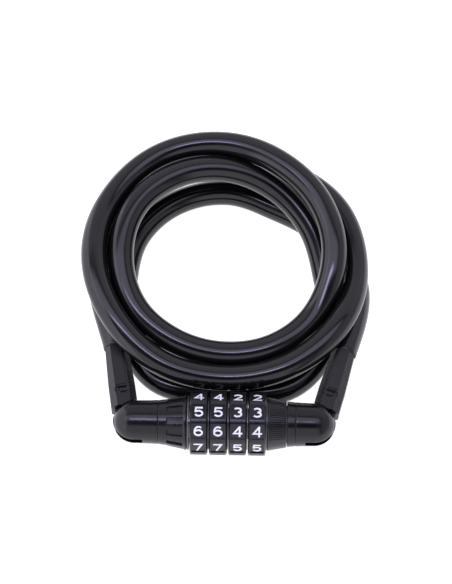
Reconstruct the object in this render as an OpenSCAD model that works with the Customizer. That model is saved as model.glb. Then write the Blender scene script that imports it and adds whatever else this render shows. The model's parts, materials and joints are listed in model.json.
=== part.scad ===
// Combination cable lock: a coiled steel cable in a thick plastic jacket, both of whose
// ends are pinned into a straight lock head with four number dials.
// Millimetres. X runs along the head's axis, Y points from the head to the coil, Z is up.
// The origin is on the surface that the lock lies on, under the middle of the head.

/* [Cable] */
// Outer diameter of the plastic jacket
cable_d = 12; // [11.5:0.1:12]
// Diameter of the steel strand inside it
strand_d = 5; // [4:0.5:6]
// Distance from the head's axis to the middle of the coil
coil_y = 78; // [78:1:82]

/* [Dials] */
// Outer diameter of a dial
dial_d = 29.6; // [29:0.2:30]
// Distance between neighbouring dials
dial_pitch = 8.8; // [8.8:0.05:9]
// Clear gap between neighbouring dials
dial_gap = 0.7; // [0.7:0.05:0.9]
// Turn of the first shown row from straight up, towards the front
shown_row_angle = 3.5; // [0:0.5:18]
// Height of a numeral
numeral_h = 4.7; // [4:0.1:5.2]
// Line width of a numeral
numeral_line = 0.8; // [0.6:0.1:1.1]

/* [Head] */
// Length of the head from end to end
head_l = 101; // [100:0.5:102]
// Diameter of the two round end caps
cap_d = 19.6; // [19:0.2:20]
// Distance from the middle of the head to each cable arm's pivot
pivot_x = 44.5; // [44:0.25:45]
// Height of the slot that each arm swings in
arm_slot_h = 3.4; // [3.2:0.1:4]
// Largest diameter of the fluted plug collar, at its lip
collar_lip_d = 25; // [24.8:0.1:26]
// Number of flutes round the plug collar
flute_count = 12; // [8:1:12]
// Largest diameter of the code setting ring
set_ring_d = 24.4; // [24:0.2:25]
// Number of teeth in a full turn of its knurl
knurl_count = 70; // [50:2:80]

/* [Arms] */
// Length of a cable arm from its pivot to the jacket
arm_l = 37.5; // [36:0.5:38]
// Width of a cable arm beside the cap
arm_w = 12.2; // [11.6:0.2:12.6]
// Width of a cable arm where the jacket starts
arm_mouth_w = 10.6; // [10:0.2:11]
// Outward lean of the left arm
left_arm_angle = 9.5; // [8:0.5:10]
// Outward lean of the right arm
right_arm_angle = 15.5; // [15:0.5:17]

/* [Hidden] */

round_fn = 96;
small_fn = 32;

cable_r = cable_d / 2;
strand_r = strand_d / 2;
jacket_bore_r = strand_r + 0.5;
jacket_sides = 12;
strand_sides = 8;

// The lock lies on its dials and on the lowest turns of the coil.
axis_h = dial_d / 2;

// ---------- positions along the head's axis ----------
mouth_x = -17;
dial_w = dial_pitch - dial_gap;
dial_x = [for (i = [0:3]) mouth_x + 5.55 + i * dial_pitch];
set_ring_x0 = dial_x[3] + dial_w / 2 + 0.6;
set_ring_x1 = 28.3;
barrel_x0 = 28.6;
parting_x = 32.4;
collar_x0 = -30;
core_end_x = 35.5;
core_bore_end_x = 34;
ring_groove_x0 = 30;
ring_groove_x1 = 31;
stop_pin_x = 24;
cross_pin_x = -33;
seat_end_x = 35.6;
bolt_tip_x = dial_x[3] + 2.6;
cap_r = cap_d / 2;
cap_ball_x = head_l / 2 - cap_r;
slot_floor_x = pivot_x - 7.5;

// ---------- radii about the head's axis ----------
dial_r = dial_d / 2;
dial_bore_r = 10.5;
bolt_r = 4.5;
core_bore_r = 4.6;
core_r = 7;
clutch_bore_r = 7.1;
clutch_r = 10.45;
fin_r = 8.6;
fin_groove_r = 8.9;
fin_w = 2.4;
fin_t = 2;
gate_w = 3;
core_slot_w = 2.8;
fit_gap = 0.02;
washer_r = 12;
sleeve_bore_r = 8.6;
cam_r = 9;
seal_seat_r = 8;
seal_seat_l = 2.4;
stop_pin_r = 0.78;
cross_pin_r = 1;

// ---------- click detents ----------
ball_r = 0.75;
ball_x = 2.8;
ball_h = 6.2;
leaf_x0 = dial_x[0] - 0.4;
leaf_l = dial_x[3] - dial_x[0] + 4.4;
leaf_w = 1.4;
leaf_h = 5.05;
leaf_t = 0.3;

// ---------- dials ----------
cell_count = 10;
cell_step = 360 / cell_count;
cell_floor = dial_r - 0.9;
frame_floor = dial_r - 0.45;
cell_l = 6.2;
cell_w = 6.8;
frame_edge = 0.3;
rim_chamfer = 0.55;
numeral_t = 0.15;
// The numeral that each dial shows in its first row
shown = [5, 5, 3, 3];

// ---------- cable arms ----------
pin_r = 1.98;
pin_bore_r = 2;
eye_bore_r = 2.06;
eye_r = 6.2;
tongue_t = 3;
tongue_w = 9;
ferrule_r = 3.5;
ferrule_y0 = 16;
ferrule_y1 = 31;
strand_start_y = 20;
arm_h = 12.2;
arm_mouth_h = 10.8;

// ---------- route of the coil ----------
// The cable leaves the left arm, winds three and a half turns clockwise seen from above
// and comes back to the right arm. One radius and one height for every twelfth of a turn,
// starting from the left side of the coil, and one row below for every half turn.
coil_x = -0.8;
route_step = 30;
route_r = [
  59.5, 58, 57, 57, 59, 61,
  61, 61.5, 60, 57, 59, 60,
  61.5, 62, 62, 58, 53, 51.5,
  50.5, 48.8, 47, 44.5, 45.5, 48,
  49, 49.5, 48, 46, 46, 46,
  47.5, 56.5, 63, 57.5, 61, 53,
  48, 49, 49.5, 49, 47, 53,
  61.5
];
route_h = [
  19, 17.5, 17.5, 18.5, 20.5, 22.5,
  21, 25, 22, 18.5, 22, 28.5,
  32, 31.5, 33, 36, 38, 35.5,
  31.5, 22.5, 20, 18, 20.5, 24.5,
  30, 33.5, 34, 32.5, 25.5, 18.5,
  10, 6, 6, 6, 6, 6,
  6, 6, 6, 6, 6, 6,
  7.5
];
route_end = route_step * (len(route_r) - 1);
ring_step = 18;
// The coil's jacket is made in lengths of half a turn.
half_turn_rings = 180 / ring_step;
lead_rings = 6;
joint_gap = 0.2;

// ---------- vector helpers ----------
function unit(v) = v / norm(v);

// A smooth curve through the values of list v; u counts list places.
function place(v, i) =
  i < 0 ? 2 * v[0] - v[1] :
  i > len(v) - 1 ? 2 * v[len(v) - 1] - v[len(v) - 2] : v[i];
function smooth4(a, b, c, d, t) =
  0.5 * (2 * b + (c - a) * t + (2 * a - 5 * b + 4 * c - d) * t * t
  + (3 * b - 3 * c + d - a) * t * t * t);
function smooth(v, u) =
  let (i = min(max(floor(u), 0), len(v) - 2))
  smooth4(place(v, i - 1), place(v, i), place(v, i + 1), place(v, i + 2), u - i);

// A curve from p, leaving along unit vector a, to q, arriving along unit vector b.
// The cable turns soon after p, so its pull along a is the weaker one.
leave_pull = 0.5;
function bridge(p, a, q, b, t) =
  let (d = norm(q - p))
  (2 * pow(t, 3) - 3 * pow(t, 2) + 1) * p + (pow(t, 3) - 2 * pow(t, 2) + t) * leave_pull * d * a
  + (3 * pow(t, 2) - 2 * pow(t, 3)) * q + (pow(t, 3) - pow(t, 2)) * d * b;

// ---------- cable route ----------
function wound(turn) =
  let (r = smooth(route_r, turn / route_step))
  let (h = max(cable_r, smooth(route_h, turn / route_step)))
  [coil_x - r * cos(turn), coil_y + r * sin(turn), h];
function wound_dir(turn) = unit(wound(turn + 0.5) - wound(turn - 0.5));

function arm_dir(side) =
  let (lean = side < 0 ? left_arm_angle : right_arm_angle)
  [side * sin(lean), cos(lean), 0];
function arm_point(side, y) = [side * pivot_x, 0, axis_h] + y * arm_dir(side);

coil_turns = [for (a = [0:ring_step:route_end]) a];
coil_path = [for (a = coil_turns) wound(a)];
coil_dirs = [for (a = coil_turns) wound_dir(a)];

function lead_path(side) =
  let (mouth = arm_point(side, arm_l))
  let (turn = side < 0 ? 0 : route_end)
  let (along = side < 0 ? wound_dir(turn) : -wound_dir(turn))
  let (stop = wound(turn) - joint_gap * along)
  [for (i = [0:lead_rings]) bridge(mouth, arm_dir(side), stop, along, i / lead_rings)];
function lead_end_dir(side) = side < 0 ? wound_dir(0) : -wound_dir(route_end);
function path_dirs(path, first, last) =
  [for (i = [0:len(path) - 1])
    i == 0 ? first : i == len(path) - 1 ? last : unit(path[i + 1] - path[i - 1])];

// ---------- swept tubes ----------
function ring_side(dir) = unit(cross(dir, [0, 0, 1]));
function ring_points(centre, dir, r, sides) =
  let (s = ring_side(dir))
  let (u = cross(s, dir))
  [for (k = [0:sides - 1]) centre + r * (s * cos(360 * k / sides) + u * sin(360 * k / sides))];
function all_rings(path, dirs, r, sides) =
  [for (i = [0:len(path) - 1]) each ring_points(path[i], dirs[i], r, sides)];
// Two triangles for every facet of a wall whose first point has number base.
function wall(rings, sides, base) =
  [for (i = [0:rings - 2]) for (k = [0:sides - 1])
    let (a = base + i * sides + k)
    let (b = base + i * sides + (k + 1) % sides)
    each [[a, b, b + sides], [a, b + sides, a + sides]]];
function flipped(faces) = [for (f = faces) [f[2], f[1], f[0]]];

module solid_tube(path, dirs, r, sides) {
  rings = len(path);
  last = (rings - 1) * sides;
  polyhedron(
    points = all_rings(path, dirs, r, sides),
    faces = concat(
      wall(rings, sides, 0),
      [[for (k = [0:sides - 1]) sides - 1 - k]],
      [[for (k = [0:sides - 1]) last + k]]
    ),
    convexity = 10
  );
}

module hollow_tube(path, dirs, r_out, r_in, sides) {
  rings = len(path);
  inner = rings * sides;
  last = (rings - 1) * sides;
  first_rim = [for (k = [0:sides - 1])
    let (n = (k + 1) % sides)
    each [[n, k, inner + k], [n, inner + k, inner + n]]];
  last_rim = [for (k = [0:sides - 1])
    let (n = (k + 1) % sides)
    each [[last + k, last + n, inner + last + n], [last + k, inner + last + n, inner + last + k]]];
  polyhedron(
    points = concat(all_rings(path, dirs, r_out, sides), all_rings(path, dirs, r_in, sides)),
    faces = concat(wall(rings, sides, 0), flipped(wall(rings, sides, inner)), first_rim, last_rim),
    convexity = 20
  );
}

// ---------- placing helpers ----------
// Revolves a flat outline of [radius, x] points about the head's axis.
module about_axis(outline) {
  translate([0, 0, axis_h])
    rotate([0, 90, 0])
      rotate_extrude($fn = round_fn)
        polygon(outline);
}
function band(r_in, r_out, x0, x1) = [[r_in, x0], [r_out, x0], [r_out, x1], [r_in, x1]];
module rod(r, x0, x1) {
  translate([x0, 0, axis_h])
    rotate([0, 90, 0])
      cylinder(r = r, h = x1 - x0, $fn = round_fn);
}
// Turns its children about the head's axis; zero is straight up, positive is to the front.
module on_axis(x, turn) {
  translate([x, 0, axis_h])
    rotate([turn, 0, 0])
      children();
}
module at_arm(side) {
  translate([side * pivot_x, 0, axis_h])
    rotate([0, 0, side < 0 ? left_arm_angle : -right_arm_angle])
      children();
}

// ================= lock body =================
module core_tube() color("silver") {
  difference() {
    rod(core_r, mouth_x + 0.1, core_end_x);
    rod(core_bore_r, mouth_x - 1, core_bore_end_x);
    // slot that the bolt's fins travel in, on the underside
    on_axis(0, 180)
      translate([mouth_x - 1, -core_slot_w / 2, 0])
        cube([dial_x[3] + 4.5 - mouth_x, core_slot_w, core_r + 1]);
    // groove for the retaining ring
    about_axis(band(core_r - 0.6, core_r + 1, ring_groove_x0, ring_groove_x1));
    // pocket of the detent leaf and the holes of its balls
    on_axis(0, 0)
      translate([leaf_x0 - 0.2, -leaf_w / 2 - 0.15, 0])
        cube([leaf_l + 0.6, leaf_w + 0.3, leaf_h + leaf_t + 0.1]);
    for (x = dial_x)
      on_axis(x + ball_x, 0)
        cylinder(r = ball_r + 0.05, h = core_r + 1, $fn = small_fn);
    // hole of the stop pin
    on_axis(stop_pin_x, 0)
      translate([0, 0, core_bore_r])
        cylinder(r = stop_pin_r + fit_gap, h = core_r, $fn = small_fn);
  }
}

module detent_leaf() color("silver") {
  on_axis(0, 0)
    translate([leaf_x0, -leaf_w / 2, leaf_h])
      cube([leaf_l, leaf_w, leaf_t]);
}

module detent_balls() color("silver") {
  for (x = dial_x)
    on_axis(x + ball_x, 0)
      translate([0, 0, ball_h])
        sphere(r = ball_r, $fn = small_fn);
}

// Keyhole that lets the bolt's fins through a plate on the core tube.
module fin_keyhole() {
  on_axis(0, 180)
    translate([mouth_x - 1, -gate_w / 2, core_r - 1])
      cube([head_l, gate_w, fin_groove_r - core_r + 1]);
}
module mouth_flange() color("dimgray") {
  difference() {
    about_axis([
      [core_r + fit_gap, mouth_x + 0.1], [washer_r, mouth_x + 0.1],
      [washer_r + 0.4, mouth_x + 0.4], [washer_r + 0.4, mouth_x + 1], [core_r + fit_gap, mouth_x + 1]
    ]);
    fin_keyhole();
  }
}

module dial_washers() color("dimgray") {
  washer_t = 0.4;
  washer_x = dial_w / 2 + 0.1;
  difference() {
    for (x = dial_x)
      about_axis(band(core_r + fit_gap, washer_r, x + washer_x, x + washer_x + washer_t));
    fin_keyhole();
  }
}

module barrel_sleeve() color([0.10, 0.10, 0.11]) {
  barrel_r = 10.35;
  about_axis([
    [sleeve_bore_r, barrel_x0], [barrel_r - 0.15, barrel_x0], [barrel_r, barrel_x0 + 0.2],
    [cap_r + 0.25, parting_x - 0.35], [cap_r + 0.02, parting_x], [sleeve_bore_r, parting_x]
  ]);
}

module core_retaining_ring() color("gray") {
  difference() {
    about_axis(band(core_r - 0.55, sleeve_bore_r - 0.2, ring_groove_x0 + 0.1, ring_groove_x1 - 0.1));
    // opening of the ring
    on_axis(ring_groove_x0, 0)
      translate([-0.5, -2, core_r - 3])
        cube([2, 4, 6]);
  }
}

module set_spring() color("gray") {
  about_axis(band(core_r + 0.05, sleeve_bore_r - 0.1, set_ring_x1 + 0.1, set_ring_x1 + 0.4));
}

module set_stop_pin() color("silver") {
  on_axis(stop_pin_x, 0)
    translate([0, 0, 5.3])
      cylinder(r = stop_pin_r, h = 3.1, $fn = small_fn);
}

// A rounded end cap on side -1 or 1, from its inner face at |x| = x0 to its end.
module cap_body(side, x0, seat_r, seat_end) {
  mirror([side < 0 ? 1 : 0, 0, 0])
    difference() {
      about_axis(concat(
        [[0, x0], [cap_r + 0.02, x0], [cap_r + 0.25, x0 + 0.3], [cap_r + 0.1, x0 + 3]],
        [for (a = [0:6:90]) [cap_r * cos(a), cap_ball_x + cap_r * sin(a)]]
      ));
      // seat of the core tube or the bolt
      rod(seat_r, x0 - 1, seat_end);
      // slot that the arm swings in
      translate([slot_floor_x, -20, axis_h - arm_slot_h / 2])
        cube([20, 40, arm_slot_h]);
      // blind bore of the pivot pin, open at the bottom
      translate([pivot_x, 0, -1])
        cylinder(r = pin_bore_r, h = axis_h + 8, $fn = round_fn);
    }
}
module pivot_pin(side) {
  translate([side * pivot_x, 0, axis_h - 8])
    cylinder(r = pin_r, h = 14.8, $fn = round_fn);
}
module body_cap() color([0.09, 0.09, 0.10]) cap_body(1, parting_x, core_r + fit_gap, seat_end_x);
module body_pivot_pin() color("silver") pivot_pin(1);

// ================= code setting ring =================
// The ring narrows towards the barrel, and its knurl follows that cone.
knurl_sector = 124;
module set_ring() color([0.12, 0.12, 0.13]) {
  ring_r = set_ring_d / 2;
  end_r = 10.7;
  tooth_depth = 0.45;
  edge = 0.3;
  slant = atan2(ring_r - end_r, set_ring_x1 - set_ring_x0 - 2 * edge);
  step = 360 / knurl_count;
  difference() {
    about_axis([
      [cam_r + fit_gap, set_ring_x0], [ring_r - edge, set_ring_x0], [ring_r, set_ring_x0 + edge],
      [end_r, set_ring_x1 - edge], [end_r - edge, set_ring_x1], [cam_r + fit_gap, set_ring_x1]
    ]);
    // two knurled sectors on opposite sides
    for (half = [0, 180])
      for (a = [-knurl_sector / 2:step:knurl_sector / 2])
        on_axis(set_ring_x0 + 0.8, half + a)
          translate([0, 0, ring_r - tooth_depth])
            rotate([0, 90 + slant, 0])
              linear_extrude(set_ring_x1 - set_ring_x0)
                polygon([[0, 0], [-1.2, -0.75], [-1.2, 0.75]]);
  }
}

module set_cam() color("goldenrod") {
  difference() {
    about_axis(band(clutch_bore_r, cam_r, set_ring_x0 + 0.1, set_ring_x1 - 0.1));
    // quarter-turn slot of the stop pin
    translate([stop_pin_x, 0, axis_h])
      rotate([0, 90, 0])
        rotate([0, 0, 80])
          translate([0, 0, -1])
            rotate_extrude(angle = 110, $fn = round_fn)
              translate([clutch_bore_r - 0.5, 0])
                square([1.9, 2]);
  }
}

// ================= dials =================
module dial(i) color([0.08, 0.08, 0.10]) {
  half = dial_w / 2;
  difference() {
    translate([dial_x[i], 0, 0])
      about_axis([
        [dial_bore_r, -half], [dial_r - 1, -half], [dial_r, -half + rim_chamfer],
        [dial_r, half - rim_chamfer], [dial_r - 1, half], [dial_bore_r, half]
      ]);
    for (k = [0:cell_count - 1])
      on_axis(dial_x[i], shown_row_angle + k * cell_step) {
        translate([-cell_l / 2, -cell_w / 2, cell_floor])
          cube([cell_l, cell_w, 3]);
        translate([-cell_l / 2 - frame_edge, -cell_w / 2 - frame_edge, frame_floor])
          cube([cell_l + 2 * frame_edge, cell_w + 2 * frame_edge, 3]);
      }
  }
}

module clutch(i) color("goldenrod") {
  half = dial_w / 2 - 0.05;
  notch_r = 0.5;
  difference() {
    translate([dial_x[i], 0, 0])
      about_axis([
        [clutch_bore_r, -half], [clutch_r, -half], [clutch_r, half], [clutch_bore_r, half],
        [clutch_bore_r, 0.4], [fin_groove_r, 0.4], [fin_groove_r, -2.6], [clutch_bore_r, -2.6]
      ]);
    // gate that lets the bolt's fin through when the shown number is set
    on_axis(dial_x[i], 180)
      translate([-dial_w, -gate_w / 2, clutch_bore_r - 1])
        cube([2 * dial_w, gate_w, fin_groove_r - clutch_bore_r + 1]);
    // click notches, one for each number
    for (k = [0:cell_count - 1])
      on_axis(dial_x[i] + 1.6, k * cell_step)
        translate([0, 0, clutch_bore_r])
          rotate([0, 90, 0])
            cylinder(r = notch_r, h = 4, $fn = small_fn);
  }
}

// ---------- numerals ----------
function arc(cx, cy, rx, ry, a0, a1, n) =
  [for (i = [0:n]) let (a = a0 + (a1 - a0) * i / n) [cx + rx * cos(a), cy + ry * sin(a)]];
function flat_unit(v) = v / max(norm(v), 0.000001);
function left_of(v) = [-v[1], v[0]];
function bend_normal(p, i) =
  let (before = i > 0 ? flat_unit(p[i] - p[i - 1]) : flat_unit(p[1] - p[0]))
  let (after = i < len(p) - 1 ? flat_unit(p[i + 1] - p[i]) : before)
  let (n = flat_unit(left_of(before) + left_of(after)))
  n / max(n * left_of(before), 0.5);
module line_along(points) {
  half = numeral_line / 2;
  n = len(points);
  polygon(concat(
    [for (i = [0:n - 1]) points[i] + half * bend_normal(points, i)],
    [for (i = [n - 1:-1:0]) points[i] - half * bend_normal(points, i)]
  ));
}
module loop_along(cx, cy, rx, ry) {
  half = numeral_line / 2;
  difference() {
    polygon(arc(cx, cy, rx + half, ry + half, 0, 345, 23));
    polygon(arc(cx, cy, rx - half, ry - half, 0, 345, 23));
  }
}

// Numerals are drawn about their middle. hx and hy are half their line's width and height.
module numeral(n) {
  hx = 1.8 * numeral_h / 5;
  hy = (numeral_h - numeral_line) / 2;
  if (n == 0)
    loop_along(0, 0, hx, hy);
  if (n == 1) {
    line_along([[0.4, -hy - 0.5], [0.4, hy + 0.5]]);
    line_along([[-1.1, hy - 0.9], [0.4, hy]]);
  }
  if (n == 2)
    line_along(concat(
      arc(0, hy * 0.45, hx * 0.95, hy * 0.55, 165, -25, 12),
      [[-hx * 0.9, -hy], [hx + 0.4, -hy]]
    ));
  if (n == 3) {
    line_along(arc(-0.1, hy * 0.52, hx * 0.9, hy * 0.48, 150, -80, 12));
    line_along(arc(-0.1, -hy * 0.46, hx, hy * 0.54, 85, -150, 13));
  }
  if (n == 4) {
    line_along([[0.95, -hy - 0.5], [0.95, hy + 0.5]]);
    line_along([[hx + 0.5, -hy * 0.45], [-hx, -hy * 0.45], [0.75, hy]]);
  }
  if (n == 5)
    line_along(concat(
      [[hx + 0.1, hy], [-hx * 0.72, hy], [-hx * 0.85, hy * 0.1]],
      arc(0, -hy * 0.38, hx * 0.98, hy * 0.62, 115, -155, 14)
    ));
  if (n == 6) {
    loop_along(0, -hy * 0.4, hx, hy * 0.6);
    line_along(concat(arc(0.1, 0, hx * 1.05, hy, 50, 180, 9), [[-hx, -hy * 0.35]]));
  }
  if (n == 7)
    line_along([[-hx - 0.4, hy], [hx * 0.95, hy], [-hx * 0.35, -hy - 0.5]]);
  if (n == 8) {
    loop_along(0, hy * 0.5, hx * 0.88, hy * 0.5);
    loop_along(0, -hy * 0.46, hx, hy * 0.54);
  }
  if (n == 9)
    rotate(180)
      numeral(6);
}
module numerals(i) color("white") {
  for (k = [0:cell_count - 1])
    on_axis(dial_x[i], shown_row_angle + k * cell_step)
      translate([0, 0, cell_floor])
        linear_extrude(numeral_t)
          numeral((shown[i] + k) % cell_count);
}

// ================= plug =================
module cross_pin_hole() {
  translate([cross_pin_x, 0, axis_h - 6])
    cylinder(r = cross_pin_r + fit_gap, h = 12, $fn = small_fn);
}
module plug_cap() color([0.09, 0.09, 0.10]) {
  difference() {
    cap_body(-1, -collar_x0, bolt_r + fit_gap, seat_end_x);
    cross_pin_hole();
  }
}

module plug_collar() color([0.10, 0.10, 0.11]) {
  lip_r = collar_lip_d / 2;
  flute_x0 = -25.8;
  flute_l = 7.4;
  flute_w = 2.8;
  flute_depth = 0.8;
  // slant of the collar along the flutes, and its radius where they start
  flute_slant = 11.5;
  start_r = 10.5;
  first_flute = 20;
  difference() {
    about_axis([
      [bolt_r + 0.1, collar_x0], [cap_r + 0.02, collar_x0], [cap_r + 0.25, collar_x0 + 0.3],
      [10.45, -26.3], [11.1, -23.5], [11.6, -20.8], [12.1, -18.5], [lip_r, mouth_x - 0.8],
      [lip_r, mouth_x - 0.3], [lip_r - 0.3, mouth_x], [seal_seat_r, mouth_x],
      [seal_seat_r, mouth_x - seal_seat_l], [bolt_r + 0.1, mouth_x - seal_seat_l]
    ]);
    // lengthwise flutes of even depth
    for (k = [0:flute_count - 1])
      on_axis(flute_x0, first_flute + k * 360 / flute_count)
        translate([0, 0, start_r - flute_depth])
          rotate([0, -flute_slant, 0])
            translate([0, -flute_w / 2, 0])
              cube([flute_l, flute_w, 4]);
  }
}

module plug_bolt() color("silver") {
  union() {
    difference() {
      about_axis([
        [0, -core_end_x], [bolt_r, -core_end_x], [bolt_r, bolt_tip_x - 1.6],
        [bolt_r - 1.2, bolt_tip_x], [0, bolt_tip_x]
      ]);
      cross_pin_hole();
    }
    // one fin for each dial
    for (x = dial_x)
      on_axis(x - 1.2, 180)
        translate([-fin_t / 2, -fin_w / 2, bolt_r - 1])
          cube([fin_t, fin_w, fin_r - bolt_r + 1]);
  }
}

module bolt_cross_pin() color("gray") {
  translate([cross_pin_x, 0, axis_h - 5.8])
    cylinder(r = cross_pin_r, h = 11.6, $fn = small_fn);
}

module plug_pivot_pin() color("silver") pivot_pin(-1);

module plug_seal() color([0.05, 0.05, 0.05]) {
  translate([mouth_x - 1.25, 0, axis_h])
    rotate([0, 90, 0])
      rotate_extrude($fn = round_fn)
        translate([6.6, 0])
          circle(r = 1, $fn = small_fn);
}

// ================= cable arms =================
// An eight-sided slab across the arm, used to blend the arm's length.
module arm_slab(y, w, h, cut) {
  translate([0, y, 0])
    rotate([-90, 0, 0])
      linear_extrude(0.1)
        polygon([
          [-w / 2, -h / 2 + cut], [-w / 2 + cut, -h / 2], [w / 2 - cut, -h / 2],
          [w / 2, -h / 2 + cut], [w / 2, h / 2 - cut], [w / 2 - cut, h / 2],
          [-w / 2 + cut, h / 2], [-w / 2, h / 2 - cut]
        ]);
}
// A flat rounded outline, w by l, with corners of radius r.
module rounded_outline(w, l, r) {
  polygon(concat(
    arc(w / 2 - r, l / 2 - r, r, r, 0, 90, 5), arc(r - w / 2, l / 2 - r, r, r, 90, 180, 5),
    arc(r - w / 2, r - l / 2, r, r, 180, 270, 5), arc(w / 2 - r, r - l / 2, r, r, 270, 360, 5)
  ));
}
module arm(side) {
  strip_w = 5;
  strip_x = 0.5;
  strip_y = 16.2;
  strip_t = 0.4;
  window_w = 6.8;
  window_l = 3.8;
  window_y = 13.5;
  window_depth = 1.5;
  channel_w = 1.3;
  channel_depth = 0.8;
  difference() {
    at_arm(side) {
      difference() {
        union() {
          hull() {
            arm_slab(6, arm_w, arm_h, 3);
            arm_slab(17, arm_w, arm_h, 3);
          }
          hull() {
            arm_slab(17, arm_w, arm_h, 3);
            arm_slab(arm_l - 0.1, arm_mouth_w, arm_mouth_h, 3);
          }
          // raised strip along the top, from the window to the jacket
          hull() {
            translate([side * strip_x - strip_w / 2, strip_y, arm_h / 2 - 1])
              cube([strip_w, 0.5, 1 + strip_t]);
            translate([side * strip_x - strip_w / 2, arm_l - 0.5, arm_mouth_h / 2 - 1])
              cube([strip_w, 0.5, 1 + strip_t]);
          }
        }
        // rounded window in the top of the arm, with a low key standing in it
        translate([0, window_y, arm_h / 2 - window_depth])
          difference() {
            linear_extrude(4)
              rounded_outline(window_w, window_l, 1.4);
            translate([-side * 0.4, 0.2, -1])
              linear_extrude(window_depth + 0.5)
                rounded_outline(3.4, 1.3, 0.5);
          }
        // channel beside the strip, on the side that faces the coil
        hull() {
          translate([-side * (strip_w / 2 - strip_x + channel_w / 2) - channel_w / 2,
            window_y, arm_h / 2 - channel_depth])
            cube([channel_w, 0.5, 4]);
          translate([-side * (strip_w / 2 - strip_x + channel_w / 2) - channel_w / 2,
            arm_l - 1.5, arm_mouth_h / 2 - channel_depth])
            cube([channel_w, 0.5, 4]);
        }
        // room for the steel fitting and the strand
        translate([-tongue_w / 2 - 0.1, 0, -tongue_t / 2 - 0.05])
          cube([tongue_w + 0.2, ferrule_y0 + 0.1, tongue_t + 0.1]);
        translate([0, ferrule_y0 - 0.1, 0])
          rotate([-90, 0, 0])
            cylinder(r = ferrule_r + fit_gap, h = ferrule_y1 - ferrule_y0 + 0.2, $fn = round_fn);
        translate([0, ferrule_y1, 0])
          rotate([-90, 0, 0])
            cylinder(r = jacket_bore_r, h = arm_l, $fn = round_fn);
      }
    }
    // the arm's end follows the round cap with a running gap
    translate([side * cap_ball_x, 0, axis_h])
      sphere(r = cap_r + 0.3, $fn = round_fn);
    translate([0, 0, axis_h])
      rotate([0, side * 90, 0])
        cylinder(r = cap_r + 0.5, h = cap_ball_x, $fn = round_fn);
  }
}
module arm_left() color([0.13, 0.13, 0.14]) arm(-1);
module arm_right() color([0.13, 0.13, 0.14]) arm(1);

module arm_fitting(side) color([0.2, 0.2, 0.21]) {
  at_arm(side)
    difference() {
      union() {
        translate([0, 0, -tongue_t / 2])
          linear_extrude(tongue_t)
            union() {
              circle(r = eye_r, $fn = round_fn);
              translate([-tongue_w / 2, 0])
                square([tongue_w, ferrule_y0]);
            }
        translate([0, ferrule_y0 - 0.1, 0])
          rotate([-90, 0, 0])
            cylinder(r = ferrule_r, h = ferrule_y1 - ferrule_y0 + 0.1, $fn = round_fn);
      }
      translate([0, 0, -tongue_t])
        cylinder(r = eye_bore_r, h = 2 * tongue_t, $fn = round_fn);
      translate([0, strand_start_y - 1, 0])
        rotate([-90, 0, 0])
          cylinder(r = strand_r + fit_gap, h = 20, $fn = round_fn);
    }
}
module arm_fitting_left() arm_fitting(-1);
module arm_fitting_right() arm_fitting(1);

// ================= cable =================
module jacket_lead(side) color([0.11, 0.11, 0.13]) {
  path = lead_path(side);
  hollow_tube(path, path_dirs(path, arm_dir(side), lead_end_dir(side)),
    cable_r, jacket_bore_r, jacket_sides);
}
module strand_lead(side) color("silver") {
  path = concat([arm_point(side, strand_start_y)], lead_path(side));
  solid_tube(path, path_dirs(path, arm_dir(side), lead_end_dir(side)), strand_r, strand_sides);
}
module jacket_left() jacket_lead(-1);
module jacket_right() jacket_lead(1);
module strand_left() strand_lead(-1);
module strand_right() strand_lead(1);

module jacket_coil(i) color([0.11, 0.11, 0.13]) {
  rings = [i * half_turn_rings:(i + 1) * half_turn_rings];
  hollow_tube([for (k = rings) coil_path[k]], [for (k = rings) coil_dirs[k]],
    cable_r, jacket_bore_r, jacket_sides);
}
module strand_coil() color("silver")
  solid_tube(coil_path, coil_dirs, strand_r, strand_sides);

core_tube();
mouth_flange();
dial_washers();
barrel_sleeve();
body_cap();
body_pivot_pin();
core_retaining_ring();
set_spring();
set_stop_pin();
detent_balls();
detent_leaf();
set_ring();
set_cam();
dial(0);  // dial_1
dial(1);  // dial_2
dial(2);  // dial_3
dial(3);  // dial_4
numerals(0);  // numerals_1
numerals(1);  // numerals_2
numerals(2);  // numerals_3
numerals(3);  // numerals_4
clutch(0);  // clutch_1
clutch(1);  // clutch_2
clutch(2);  // clutch_3
clutch(3);  // clutch_4
plug_cap();
plug_collar();
plug_bolt();
bolt_cross_pin();
plug_pivot_pin();
plug_seal();
arm_left();
arm_fitting_left();
jacket_left();
strand_left();
arm_right();
arm_fitting_right();
jacket_right();
strand_right();
jacket_coil(0);  // jacket_coil_1
jacket_coil(1);  // jacket_coil_2
jacket_coil(2);  // jacket_coil_3
jacket_coil(3);  // jacket_coil_4
jacket_coil(4);  // jacket_coil_5
jacket_coil(5);  // jacket_coil_6
jacket_coil(6);  // jacket_coil_7
strand_coil();
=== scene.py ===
"""Looks of a combination cable lock.

A coiled, plastic-jacketed steel cable is pinned into a straight head with four number dials.
"""

import json
import math

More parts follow.
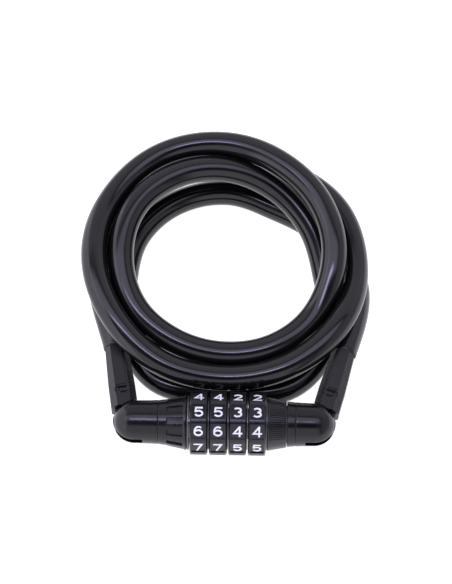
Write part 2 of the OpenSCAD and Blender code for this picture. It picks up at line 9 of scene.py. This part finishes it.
import bpy
import numpy as np
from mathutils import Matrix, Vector


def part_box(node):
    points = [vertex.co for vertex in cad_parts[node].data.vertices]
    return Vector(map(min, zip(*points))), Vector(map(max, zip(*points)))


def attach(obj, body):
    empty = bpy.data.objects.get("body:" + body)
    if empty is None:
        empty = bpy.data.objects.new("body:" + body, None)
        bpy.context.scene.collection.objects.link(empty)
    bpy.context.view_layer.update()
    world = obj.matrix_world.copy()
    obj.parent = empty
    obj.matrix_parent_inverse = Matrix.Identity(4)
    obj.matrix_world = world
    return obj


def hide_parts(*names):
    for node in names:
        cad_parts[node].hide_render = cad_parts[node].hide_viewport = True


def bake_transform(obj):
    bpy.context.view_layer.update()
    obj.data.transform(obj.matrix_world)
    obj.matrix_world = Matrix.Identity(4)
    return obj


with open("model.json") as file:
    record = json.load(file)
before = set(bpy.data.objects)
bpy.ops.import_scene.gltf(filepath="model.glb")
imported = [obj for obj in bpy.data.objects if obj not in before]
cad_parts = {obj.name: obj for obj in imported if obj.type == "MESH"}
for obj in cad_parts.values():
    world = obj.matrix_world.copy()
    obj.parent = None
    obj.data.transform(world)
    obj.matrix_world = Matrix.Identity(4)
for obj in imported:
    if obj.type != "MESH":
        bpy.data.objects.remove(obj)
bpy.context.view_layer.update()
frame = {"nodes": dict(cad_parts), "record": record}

MM = 0.001


# ---------- camera ----------
# The head's axis is the X axis of the frame, at the height of a dial's radius.
dial_low, dial_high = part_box("dial_1")
AXIS_Z = (dial_low.z + dial_high.z) / 2
CAMERA_TURN = math.radians(1.107)
CAMERA_ELEVATION = math.radians(62.1)
CAMERA_PLACE = Vector((8.13 * MM, -378.6 * MM, 857.66 * MM))
CAMERA_LENS = 124.85
CAMERA_SENSOR = 36.0
CAMERA_NEAR, CAMERA_FAR = 0.05, 20


def make_camera():
    data = bpy.data.cameras.new("camera")
    data.lens = CAMERA_LENS
    data.sensor_width = CAMERA_SENSOR
    data.clip_start, data.clip_end = CAMERA_NEAR, CAMERA_FAR
    camera = bpy.data.objects.new("camera", data)
    bpy.context.scene.collection.objects.link(camera)
    flat = math.cos(CAMERA_ELEVATION)
    back = Vector((math.sin(CAMERA_TURN) * flat, -math.cos(CAMERA_TURN) * flat, math.sin(CAMERA_ELEVATION)))
    camera.location = CAMERA_PLACE
    camera.rotation_euler = (-back).to_track_quat("-Z", "Y").to_euler()
    bpy.context.scene.camera = camera


make_camera()

# ---------- route of the cable ----------
# The same lists as in part.scad, in millimetres: one radius and one height for every twelfth
# of a turn, clockwise seen from above, starting from the coil's left side. Most of the values
# are the rounded result of a fitting program.
CABLE_R = 6.0
COIL_X, COIL_Y = -0.8, 78.0
ROUTE_STEP = 30.0
ROUTE_R = [
    59.5, 58, 57, 57, 59, 61,
    61, 61.5, 60, 57, 59, 60,
    61.5, 62, 62, 58, 53, 51.5,
    50.5, 48.8, 47, 44.5, 45.5, 48,
    49, 49.5, 48, 46, 46, 46,
    47.5, 56.5, 63, 57.5, 61, 53,
    48, 49, 49.5, 49, 47, 53,
    61.5,
]
ROUTE_H = [
    19, 17.5, 17.5, 18.5, 20.5, 22.5,
    21, 25, 22, 18.5, 22, 28.5,
    32, 31.5, 33, 36, 38, 35.5,
    31.5, 22.5, 20, 18, 20.5, 24.5,
    30, 33.5, 34, 32.5, 25.5, 18.5,
    10, 6, 6, 6, 6, 6,
    6, 6, 6, 6, 6, 6,
    7.5,
]
ROUTE_END = ROUTE_STEP * (len(ROUTE_R) - 1)
PIVOT_X = 44.5
ARM_LENGTH = 37.5
ARM_LEAN = {-1: 9.5, 1: 15.5}
LEAVE_PULL = 0.5
AXIS_H = AXIS_Z / MM


def unit(v):
    return v / np.linalg.norm(v)


def place(values, i):
    """Value i of a list, carried on in a straight line past either end."""
    if i < 0:
        return 2 * values[0] - values[1]
    if i > len(values) - 1:
        return 2 * values[-1] - values[-2]
    return values[i]


def smooth(values, u):
    """A smooth curve through a list of values; u counts list places."""
    i = int(min(max(math.floor(u), 0), len(values) - 2))
    t = u - i
    a, b, c, d = (place(values, i + k) for k in (-1, 0, 1, 2))
    return 0.5 * (
        2 * b + (c - a) * t + (2 * a - 5 * b + 4 * c - d) * t * t
        + (3 * b - 3 * c + d - a) * t**3
    )


def wound(turn):
    """The coil's centreline at an angle of turn degrees from its start."""
    r = smooth(ROUTE_R, turn / ROUTE_STEP)
    h = max(CABLE_R, smooth(ROUTE_H, turn / ROUTE_STEP))
    a = math.radians(turn)
    return np.array([COIL_X - r * math.cos(a), COIL_Y + r * math.sin(a), h])


def wound_dir(turn):
    return unit(wound(turn + 0.5) - wound(turn - 0.5))


def arm_dir(side):
    lean = math.radians(ARM_LEAN[side])
    return np.array([side * math.sin(lean), math.cos(lean), 0])


def arm_point(side, along):
    return np.array([side * PIVOT_X, 0, AXIS_H]) + along * arm_dir(side)


def lead(side, count):
    """Points from an arm's mouth to the coil's end on that side."""
    p, a = arm_point(side, ARM_LENGTH), arm_dir(side)
    turn = 0 if side < 0 else ROUTE_END
    q = wound(turn)
    b = wound_dir(turn) * (1 if side < 0 else -1)
    d = np.linalg.norm(q - p)
    points = []
    for t in np.linspace(0, 1, count):
        points.append(
            (2 * t**3 - 3 * t**2 + 1) * p
            + (t**3 - 2 * t**2 + t) * LEAVE_PULL * d * a
            + (3 * t**2 - 2 * t**3) * q
            + (t**3 - t**2) * d * b
        )
    return points


TURN_STEP = 2.5
LEAD_POINTS = 20
route = lead(-1, LEAD_POINTS)
first_turn = len(route) - 1
route += [wound(t) for t in np.arange(TURN_STEP, ROUTE_END, TURN_STEP)]
route += lead(1, LEAD_POINTS)[::-1]
route = np.array(route)
route_dirs = np.gradient(route, axis=0)
route_dirs[0], route_dirs[-1] = arm_dir(-1), -arm_dir(1)
route_dirs /= np.linalg.norm(route_dirs, axis=1)[:, None]


# ---------- meshes ----------
def link(name, mesh):
    o = bpy.data.objects.new(name, mesh)
    bpy.context.scene.collection.objects.link(o)
    return o


TUBE_SIDES = 48
# How much thinner a piece's hidden last ring is, and the rounding of a cut end.
TUCK = 0.02
CUT_ROUND = 0.35
CUT_INSET = 0.3


def ring_axes(direction):
    side = unit(np.cross(direction, [0, 0, 1]))
    return side, np.cross(side, direction)


def tube_piece(name, first, last, rounded_first=False, rounded_last=False):
    """The jacket from route point first to last. A cut end that shows is rounded over. Any
    other end reaches one step into the next piece, a little thinner, so that no seam shows."""
    points = [(p, d, CABLE_R) for p, d in zip(route[first:last + 1], route_dirs[first:last + 1])]
    path = [list(map(float, p * MM)) for p, _, _ in points]
    inset = CUT_ROUND * CUT_INSET
    lips = [(0.0, CABLE_R - CUT_ROUND), (inset, CABLE_R - inset), (CUT_ROUND, CABLE_R)]
    if rounded_first:
        p, d, _ = points[0]
        points = [(p + d * s, d, r) for s, r in lips] + points[1:]
    else:
        points = [(route[first - 1], route_dirs[first - 1], CABLE_R - TUCK)] + points
    if rounded_last:
        p, d, _ = points[-1]
        points = points[:-1] + [(p - d * s, d, r) for s, r in lips[::-1]]
    else:
        points = points + [(route[last + 1], route_dirs[last + 1], CABLE_R - TUCK)]
    angles = np.linspace(0, 2 * math.pi, TUBE_SIDES, endpoint=False)
    verts = []
    for p, d, r in points:
        side, up = ring_axes(d)
        for a in angles:
            verts.append((p + r * (side * math.cos(a) + up * math.sin(a))) * MM)
    rings = len(points)
    faces = []
    for i in range(rings - 1):
        for k in range(TUBE_SIDES):
            a, b = i * TUBE_SIDES + k, i * TUBE_SIDES + (k + 1) % TUBE_SIDES
            faces.append((a, b, b + TUBE_SIDES, a + TUBE_SIDES))
    faces.append(tuple(range(TUBE_SIDES - 1, -1, -1)))
    faces.append(tuple(range((rings - 1) * TUBE_SIDES, rings * TUBE_SIDES)))
    mesh = bpy.data.meshes.new(name)
    mesh.from_pydata([tuple(v) for v in verts], [], faces)
    mesh.polygons.foreach_set("use_smooth", [True] * (len(faces) - 2) + [False] * 2)
    rest = mesh.attributes.new("rest", "FLOAT_VECTOR", "POINT")
    rest.data.foreach_set("vector", np.array(verts, np.float32).ravel())
    mesh.update()
    o = link(name, mesh)
    o["path"] = path
    return o


def route_index(turn):
    return first_turn + int(round(turn / TURN_STEP))


LEFT_BEND_TURN = 30.0
PLUG_BEND_TURN = 130.0
RIGHT_BEND_TURN = ROUTE_END - 50.0
i_left = route_index(LEFT_BEND_TURN)
i_plug = route_index(PLUG_BEND_TURN)
i_right = route_index(RIGHT_BEND_TURN)

cable_left_end = tube_piece("cable_left_end", 0, i_left, rounded_first=True)
cable_left = tube_piece("cable_left", i_left, i_plug)
cable_coil = tube_piece("cable_coil", i_plug, i_right)
cable_right = tube_piece("cable_right", i_right, len(route) - 1, rounded_last=True)


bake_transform(cable_left_end)
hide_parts("jacket_left", "strand_left")
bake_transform(cable_left)
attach(cable_coil, "lock_body")
COIL_LENGTHS = ["jacket_coil_%d" % i for i in range(1, 8)]
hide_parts(*COIL_LENGTHS, "strand_coil")
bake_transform(cable_right)
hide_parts("jacket_right", "strand_right")


# ---------- node helpers ----------
def add(tree, kind, inputs=None, **props):
    """Adds a shader node. An input is a value or another node's socket."""
    n = tree.nodes.new(kind)
    for key, value in props.items():
        setattr(n, key, value)
    for key, value in (inputs or {}).items():
        if isinstance(value, bpy.types.NodeSocket):
            tree.links.new(value, n.inputs[key])
        else:
            n.inputs[key].default_value = value
    return n


def maths(tree, operation, a, b):
    return add(tree, "ShaderNodeMath", {0: a, 1: b}, operation=operation).outputs[0]


def spread_over(tree, value, low, high, new_low, new_high, kind="LINEAR"):
    """Carries the range from low to high over to new_low to new_high."""
    inputs = {
        "Value": value, "From Min": low, "From Max": high, "To Min": new_low, "To Max": new_high,
    }
    return add(tree, "ShaderNodeMapRange", inputs, interpolation_type=kind).outputs["Result"]


def new_finish(name):
    mat = bpy.data.materials.new(name)
    mat.use_nodes = True
    tree = mat.node_tree
    tree.nodes.clear()
    shader = add(tree, "ShaderNodeBsdfPrincipled")
    out = add(tree, "ShaderNodeOutputMaterial")
    tree.links.new(shader.outputs[0], out.inputs[0])
    return mat, tree, shader


def noise(tree, coords, scale, detail=3.0, roughness=0.5):
    inputs = {"Vector": coords, "Scale": scale, "Detail": detail, "Roughness": roughness}
    return add(tree, "ShaderNodeTexNoise", inputs).outputs["Fac"]


def bump(tree, height, distance, normal=None):
    inputs = {"Height": height, "Distance": distance, "Strength": 1.0}
    if normal is not None:
        inputs["Normal"] = normal
    return add(tree, "ShaderNodeBump", inputs).outputs["Normal"]


def mixed(tree, factor, a, b):
    n = add(tree, "ShaderNodeMix", data_type="RGBA")
    tree.links.new(factor, n.inputs["Factor"])
    n.inputs["A"].default_value = (*a, 1)
    n.inputs["B"].default_value = (*b, 1)
    return n.outputs["Result"]


def shade(colour, factor):
    return tuple(c * factor for c in colour)


# ---------- materials ----------
# The middle part of a noise's range, where nearly all of its values lie.
NOISE_LOW, NOISE_HIGH = 0.3, 0.7
PATCH_TO_WAVE = 2.2
PLASTIC_IOR = 1.5


def moulded(name, colour, roughness, grain_size, grain_depth, wave_size=9.0, wave_depth=0.02,
            spread=0.06, coords="Object", level=0.5):
    """Moulded plastic. Sizes and depths are in millimetres."""
    mat, tree, shader = new_finish(name)
    if coords == "rest":
        place_of = add(tree, "ShaderNodeAttribute", attribute_name="rest").outputs["Vector"]
    else:
        place_of = add(tree, "ShaderNodeTexCoord").outputs[coords]
    patches = noise(tree, place_of, 1 / (wave_size * PATCH_TO_WAVE * MM), 4.0)
    waves = noise(tree, place_of, 1 / (wave_size * MM), 1.0)
    grain = noise(tree, place_of, 1 / (grain_size * MM), 2.0, 0.6)
    tint = mixed(tree, patches, shade(colour, 0.75), shade(colour, 1.3))
    tree.links.new(tint, shader.inputs["Base Color"])
    gloss = spread_over(tree, patches, NOISE_LOW, NOISE_HIGH, roughness - spread, roughness + spread)
    tree.links.new(gloss, shader.inputs["Roughness"])
    normal = bump(tree, waves, wave_depth * MM)
    normal = bump(tree, grain, grain_depth * MM, normal)
    tree.links.new(normal, shader.inputs["Normal"])
    shader.inputs["IOR"].default_value = PLASTIC_IOR
    shader.inputs["Specular IOR Level"].default_value = level
    return mat


LINE_SIZE, LINE_DEPTH, LINE_STRETCH = 0.25, 0.004, 30
STAIN_SIZE = 5


def metal(name, colour, roughness):
    """Turned metal with fine lines round the X axis. Sizes are in millimetres."""
    mat, tree, shader = new_finish(name)
    coords = add(tree, "ShaderNodeTexCoord").outputs["Object"]
    fine = (1 / (LINE_SIZE * MM), LINE_STRETCH, LINE_STRETCH)
    lines = add(tree, "ShaderNodeMapping", {"Vector": coords, "Scale": fine}).outputs[0]
    marks = noise(tree, lines, 1.0, 4.0)
    stains = noise(tree, coords, 1 / (STAIN_SIZE * MM), 4.0)
    tree.links.new(mixed(tree, stains, shade(colour, 0.8), colour), shader.inputs["Base Color"])
    gloss = spread_over(tree, stains, NOISE_LOW, NOISE_HIGH, roughness - 0.06, roughness + 0.08)
    tree.links.new(gloss, shader.inputs["Roughness"])
    tree.links.new(bump(tree, marks, LINE_DEPTH * MM), shader.inputs["Normal"])
    shader.inputs["Metallic"].default_value = 1.0
    return mat


finishes = {
    "cable_jacket": moulded(
        "glossy_pvc", (0.0042, 0.0040, 0.0044), 0.13, 0.9, 0.002, 14, 0.03, 0.03, coords="rest"),
    "head_plastic": moulded(
        "satin_head_plastic", (0.0045, 0.0044, 0.0050), 0.19, 0.5, 0.004, 7, 0.04, level=0.40),
    "arm_plastic": moulded("grained_arm_plastic", (0.0060, 0.0060, 0.0070), 0.24, 0.55, 0.07, 3, 0.06),
    "ring_plastic": moulded("ring_plastic", (0.006, 0.006, 0.007), 0.28, 0.4, 0.005),
    "dial_plastic": moulded("dial_plastic", (0.005, 0.005, 0.008), 0.20, 0.4, 0.003, 5, 0.02),
    "numeral_white": moulded("numeral_paint", (0.82, 0.83, 0.86), 0.45, 0.25, 0.006, 3, 0.01),
    "seal_rubber": moulded("seal_rubber", (0.012, 0.012, 0.012), 0.6, 0.3, 0.02),
    "steel_black": moulded("blackened_steel", (0.03, 0.03, 0.032), 0.4, 0.3, 0.01),
    "steel_core": metal("turned_steel", (0.62, 0.62, 0.63), 0.3),
    "steel_dark": metal("dark_steel", (0.16, 0.16, 0.17), 0.4),
    "steel_pin": metal("pin_steel", (0.66, 0.66, 0.68), 0.22),
    "brass_clutch": metal("turned_brass", (0.72, 0.50, 0.20), 0.3),
    "cable_strand": metal("strand_steel", (0.5, 0.5, 0.52), 0.35),
}


def dress(o, slot_name):
    o.data.materials.clear()
    o.data.materials.append(finishes[slot_name])


for o in (cable_left_end, cable_left, cable_coil, cable_right):
    dress(o, "cable_jacket")
for part in frame["record"]["subparts"]:
    dress(frame["nodes"][part["node"]], part["material_slot"])


# ---------- rounded edges on the parts that show ----------
def round_edges(node, width, segments=2, angle=28):
    o = frame["nodes"][node]
    weld = o.modifiers.new("weld", "WELD")
    weld.merge_threshold = 0.002 * MM
    bevel = o.modifiers.new("bevel", "BEVEL")
    bevel.width = width * MM
    bevel.segments = segments
    bevel.limit_method = "ANGLE"
    bevel.angle_limit = math.radians(angle)
    bevel.miter_outer = "MITER_ARC"
    shading = o.modifiers.new("shading", "WEIGHTED_NORMAL")
    shading.weight = 80
    shading.keep_sharp = False


EDGES = {
    "body_cap": 0.12, "plug_cap": 0.12, "plug_collar": 0.12, "barrel_sleeve": 0.1,
    "set_ring": 0.05, "dial_1": 0.08, "dial_2": 0.08, "dial_3": 0.08, "dial_4": 0.08,
    "arm_left": 0.5, "arm_right": 0.5, "mouth_flange": 0.1,
}
for node, width in EDGES.items():
    round_edges(node, width)


# ---------- studio ----------
def window(tree, value, low, high, soft):
    """1 between low and high, with soft edges."""
    rise = spread_over(tree, value, low - soft, low + soft, 0, 1, "SMOOTHSTEP")
    fall = spread_over(tree, value, high - soft, high + soft, 1, 0, "SMOOTHSTEP")
    return maths(tree, "MULTIPLY", rise, fall)


# Each light panel: strength, tint, tip (degrees from the front horizon over the top to
# the back horizon) and side (-1 left to 1 right), each as low, high and edge softness.
PANELS = {
    "surround": (0.20, (1.0, 0.98, 1.10), (-20, 200, 4), (-1.2, 1.2, 0.05)),
    "overhead": (1.6, (0.96, 0.94, 1.26), (74, 103, 4), (-0.75, 0.5, 0.2)),
    "strip": (8.5, (0.92, 0.88, 1.45), (77, 82, 1.2), (-0.40, 0.05, 0.12)),
    "front": (0.95, (1.0, 0.98, 1.12), (-12, 46, 4), (-0.7, 0.5, 0.2)),
    "back": (0.6, (1.0, 0.98, 1.12), (112, 172, 6), (-0.7, 0.7, 0.15)),
    "left": (1.5, (1.0, 0.98, 1.12), (-20, 200, 4), (-1.2, -0.66, 0.08)),
    "right": (0.50, (1.0, 0.98, 1.12), (-20, 200, 4), (0.66, 1.2, 0.08)),
}
# The dark stretch in front of the objects, where a studio's camera stands.
CAMERA_GAP = (53, 72, 2)
CAMERA_GAP_SIDES = (-0.3, 0.3, 0.1)
CAMERA_GAP_DEPTH = 0.85


def make_world():
    world = bpy.data.worlds.new("studio")
    world.use_nodes = True
    tree = world.node_tree
    tree.nodes.clear()
    direction = add(tree, "ShaderNodeTexCoord").outputs["Generated"]
    xyz = add(tree, "ShaderNodeSeparateXYZ", {"Vector": direction}).outputs
    side = xyz["X"]
    angle = maths(tree, "ARCTAN2", xyz["Z"], maths(tree, "MULTIPLY", xyz["Y"], -1.0))
    tip = maths(tree, "MULTIPLY", angle, 180 / math.pi)
    total = None
    for strength, tint, tips, sides in PANELS.values():
        amount = maths(tree, "MULTIPLY", window(tree, tip, *tips), window(tree, side, *sides))
        colour = add(tree, "ShaderNodeVectorMath", {0: shade(tint, strength)}, operation="SCALE")
        tree.links.new(amount, colour.inputs["Scale"])
        if total is None:
            total = colour.outputs[0]
        else:
            both = {0: total, 1: colour.outputs[0]}
            total = add(tree, "ShaderNodeVectorMath", both, operation="ADD").outputs[0]
    gap = maths(tree, "MULTIPLY", window(tree, tip, *CAMERA_GAP), window(tree, side, *CAMERA_GAP_SIDES))
    dim = maths(tree, "SUBTRACT", 1.0, maths(tree, "MULTIPLY", gap, CAMERA_GAP_DEPTH))
    scaled = add(tree, "ShaderNodeVectorMath", {0: total}, operation="SCALE")
    tree.links.new(dim, scaled.inputs["Scale"])
    background = add(tree, "ShaderNodeBackground", {"Color": scaled.outputs[0]})
    out = add(tree, "ShaderNodeOutputWorld")
    tree.links.new(background.outputs[0], out.inputs[0])
    bpy.context.scene.world = world


FLOOR_HALF = 3.0
FLOOR_DARK, FLOOR_LIGHT = (0.44, 0.44, 0.445), (0.47, 0.47, 0.475)
FLOOR_GLOW = 0.95


def make_floor():
    mesh = bpy.data.meshes.new("floor")
    corners = [(x * FLOOR_HALF, y * FLOOR_HALF, 0) for x, y in ((-1, -1), (1, -1), (1, 1), (-1, 1))]
    mesh.from_pydata(corners, [], [(0, 1, 2, 3)])
    floor = link("floor", mesh)
    mat, tree, shader = new_finish("pale_floor")
    coords = add(tree, "ShaderNodeTexCoord").outputs["Object"]
    patches = noise(tree, coords, 3.0, 2.0)
    tree.links.new(mixed(tree, patches, FLOOR_DARK, FLOOR_LIGHT), shader.inputs["Base Color"])
    shader.inputs["Roughness"].default_value = 1.0
    shader.inputs["Specular IOR Level"].default_value = 0.0
    shader.inputs["Emission Color"].default_value = (1, 1, 1, 1)
    shader.inputs["Emission Strength"].default_value = FLOOR_GLOW
    mesh.materials.append(mat)


make_world()
make_floor()
bpy.context.scene.view_settings.view_transform = "Standard"
bpy.context.scene.view_settings.look = "None"
